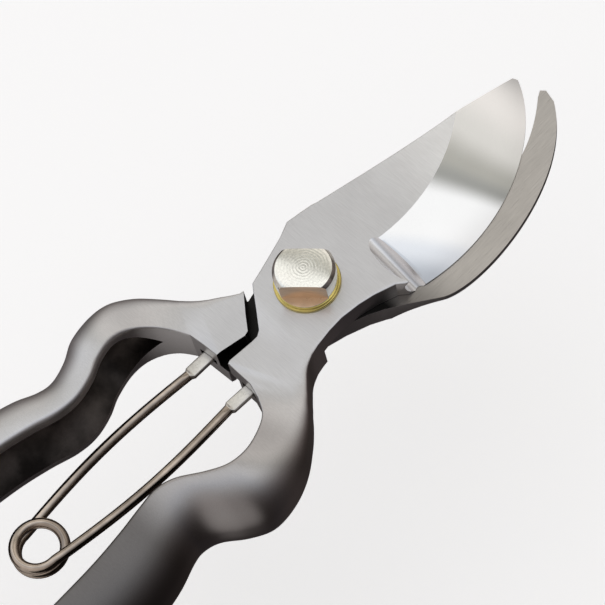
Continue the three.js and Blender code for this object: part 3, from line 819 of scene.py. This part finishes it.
# ---------------------------------------------------------------------------
# Spring. One length of drawn wire, wound one and a half turns in the middle and
# pressed flat at both ends, where it stands in a pocket in each shoulder.
# ---------------------------------------------------------------------------
wire, coil_radius, coil_pitch, leg_bow = 2.2, 5.1, 2.45, 1.5
coil_rise = 0.75 * coil_pitch       # from the middle of the coil to where each leg leaves it
tab_thickness, tab_length = 1.4, 5.6
joint_places = {joint["name"]: joint["pos_m"] for joint in frame["joints"]}
coil = Vector([c / MM for c in joint_places["spring_coil"]]).to_2d()
foot = abs(joint_places["spring_foot"][0] / MM)
pressed = steel("pressed_wire", (0.82, 0.79, 0.73), 0.3, (2, 2, 2), bite=0.8)


def oval(centre, along, width, height, power):
    """A ring across the wire: round where power is 2, squarer as it grows."""
    sides = 20
    across = Vector((along.y, -along.x, 0)).normalized()
    up = across.cross(along).normalized()
    ring = []
    for i in range(sides):
        a = tau * i / sides
        u = abs(cos(a)) ** (2 / power) * (1 if cos(a) > 0 else -1)
        v = abs(sin(a)) ** (2 / power) * (1 if sin(a) > 0 else -1)
        ring.append(centre + across * u * width / 2 + up * v * height / 2)
    return ring


def station(plan, z, pressing=0.0):
    """A place on the wire, with its width, height and squareness; pressing is 1 on a tab."""
    return (Vector((*plan, lap_plane + z)), wire + (tab_width - wire) * pressing,
            wire + (tab_thickness - wire) * pressing, 2 + 3 * pressing)


def leg(side):
    """Stations up one leg, from the coil to the end of its tab."""
    steps = 28
    top = Vector((side * foot, socket_y))
    line = coil - top
    turn_in = asin(coil_radius / line.length) * side
    run = Matrix.Rotation(turn_in, 2) @ line.normalized()
    touch = top + run * sqrt(line.length ** 2 - coil_radius ** 2)
    bow = Vector((-run.y, run.x)) * side * leg_bow
    tab = top + run * ((arch_y - tab_length - socket_y) / run.y)
    stations = []
    for i in range(1, steps + 1):
        w = i / steps
        stations.append(station(touch.lerp(tab, w) + bow * sin(pi * w), side * coil_rise * (1 - w)))
    # the wire is pressed flat within a millimetre, with a slight bulge
    for away, pressing in ((0.35, 0.5), (0.6, 1.0), (0.75, 1.03), (3.0, 1.0), (6.0, 1.0)):
        stations.append(station(tab - run * away, 0, pressing))
    stations.append(station(top - run * tab_inside, 0, 1.0))
    return stations


turns = []
turn_steps = 72
for i in range(turn_steps + 1):
    a = radians(180 + 540 * i / turn_steps)
    on_coil = coil + coil_radius * Vector((cos(a), sin(a)))
    turns.append(station(on_coil, coil_rise * (2 * i / turn_steps - 1)))
stations = leg(-1)[::-1] + turns + leg(1)
rings = []
for i, (place, width, height, power) in enumerate(stations):
    before, after = stations[max(i - 1, 0)][0], stations[min(i + 1, len(stations) - 1)][0]
    rings.append(oval(place, (after - before).normalized(), width, height, power))
spring = piece(skin(rings), "spring", tempered, pressed)
for face in spring.data.polygons:
    face.use_smooth = True
    face.material_index = int(face.center.y > (arch_y - tab_length) * MM)
spring.data.set_sharp_from_angle(angle=radians(50))
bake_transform(spring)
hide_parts("spring_left", "spring_right")

# ---------------------------------------------------------------------------
# Catch. A steel strip bent to a bail and riveted through the end of the left
# handle; it swings over the other handle to hold the shears shut.
# ---------------------------------------------------------------------------
rivet_low, rivet_high = level("catch_rivet", LOW), level("catch_rivet", HIGH)
rivet_radius, rivet_side = 1.6, 0.7
rivet_head = (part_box("catch_rivet")[HIGH][0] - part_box("catch_rivet")[LOW][0]) / 2 / MM
rivet_dome = [(rivet_head, rivet_side), (rivet_head, 0.55), (rivet_head * 0.92, 0.3),
              (rivet_head * 0.7, 0.1), (rivet_head * 0.35, 0.0), (0, 0.0)]
shank = [(rivet_radius, rivet_low + rivet_side), (rivet_radius, rivet_high - rivet_side)]
lower = [(r, rivet_low + z) for r, z in reversed(rivet_dome)]
upper = [(r, rivet_high - z) for r, z in rivet_dome]
rivet = piece(turned(lower + shank + upper, catch_centre[0], catch_centre[1]), "rivet", plated)
break_edges(rivet, 0.05)
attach(rivet, "hook_side")
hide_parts("catch_rivet")

strip_width, strip = 5.0, 1.0
bail_reach, bail_fold, bend_radius = 33.0, radians(110), 1.6
bail_half = (level("catch_bail", HIGH) - level("catch_bail", LOW)) / 2 - strip / 2
eye = strip_width / 2 + 0.6     # radius of the round end that the rivet goes through


def strap(place, along, width):
    """A ring across the strip, with its corners rubbed off."""
    across, normal = Vector((0, 1, 0)), Vector((0, 1, 0)).cross(along)
    soft = 0.12
    w, t = width / 2, strip / 2
    corners = [(w - soft, t), (w, t - soft), (w, soft - t), (w - soft, -t), (soft - w, -t),
               (-w, soft - t), (-w, t - soft), (soft - w, t)]
    return [place + across * u + normal * v for u, v in corners]


rings = []
ends = []
for turn in range(0, 91, 10):
    ends.append((-eye * cos(radians(turn)), max(2 * eye * sin(radians(turn)), 0.6)))
ends += [(2.2, 2 * eye - 0.35), (4.0, strip_width), (bail_reach - bend_radius, strip_width)]
for x, width in ends:
    rings.append(strap(Vector((x, 0, -bail_half)), Vector((1, 0, 0)), width))
for turn in range(15, 91, 15):
    c, s = cos(radians(turn)), sin(radians(turn))
    place = Vector((bail_reach - bend_radius * (1 - s), 0, -bail_half + bend_radius * (1 - c)))
    rings.append(strap(place, Vector((c, 0, s)), strip_width))
# the other arm mirrors the first
rings += [[Vector((p.x, p.y, -p.z)) for p in ring] for ring in reversed(rings)]
bail_bm = skin(rings)
bmesh.ops.rotate(bail_bm, matrix=Matrix.Rotation(bail_fold, 3, "Z"), verts=bail_bm.verts)
bmesh.ops.translate(bail_bm, vec=(catch_centre[0], catch_centre[1], lap_plane), verts=bail_bm.verts)
bail = piece(bail_bm, "bail", plated)
cut(bail, (rod(rivet_hole, -far, far, catch_centre[0], catch_centre[1]), plated))
break_edges(bail, 0.05)
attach(bail, "catch")
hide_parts("catch_bail")
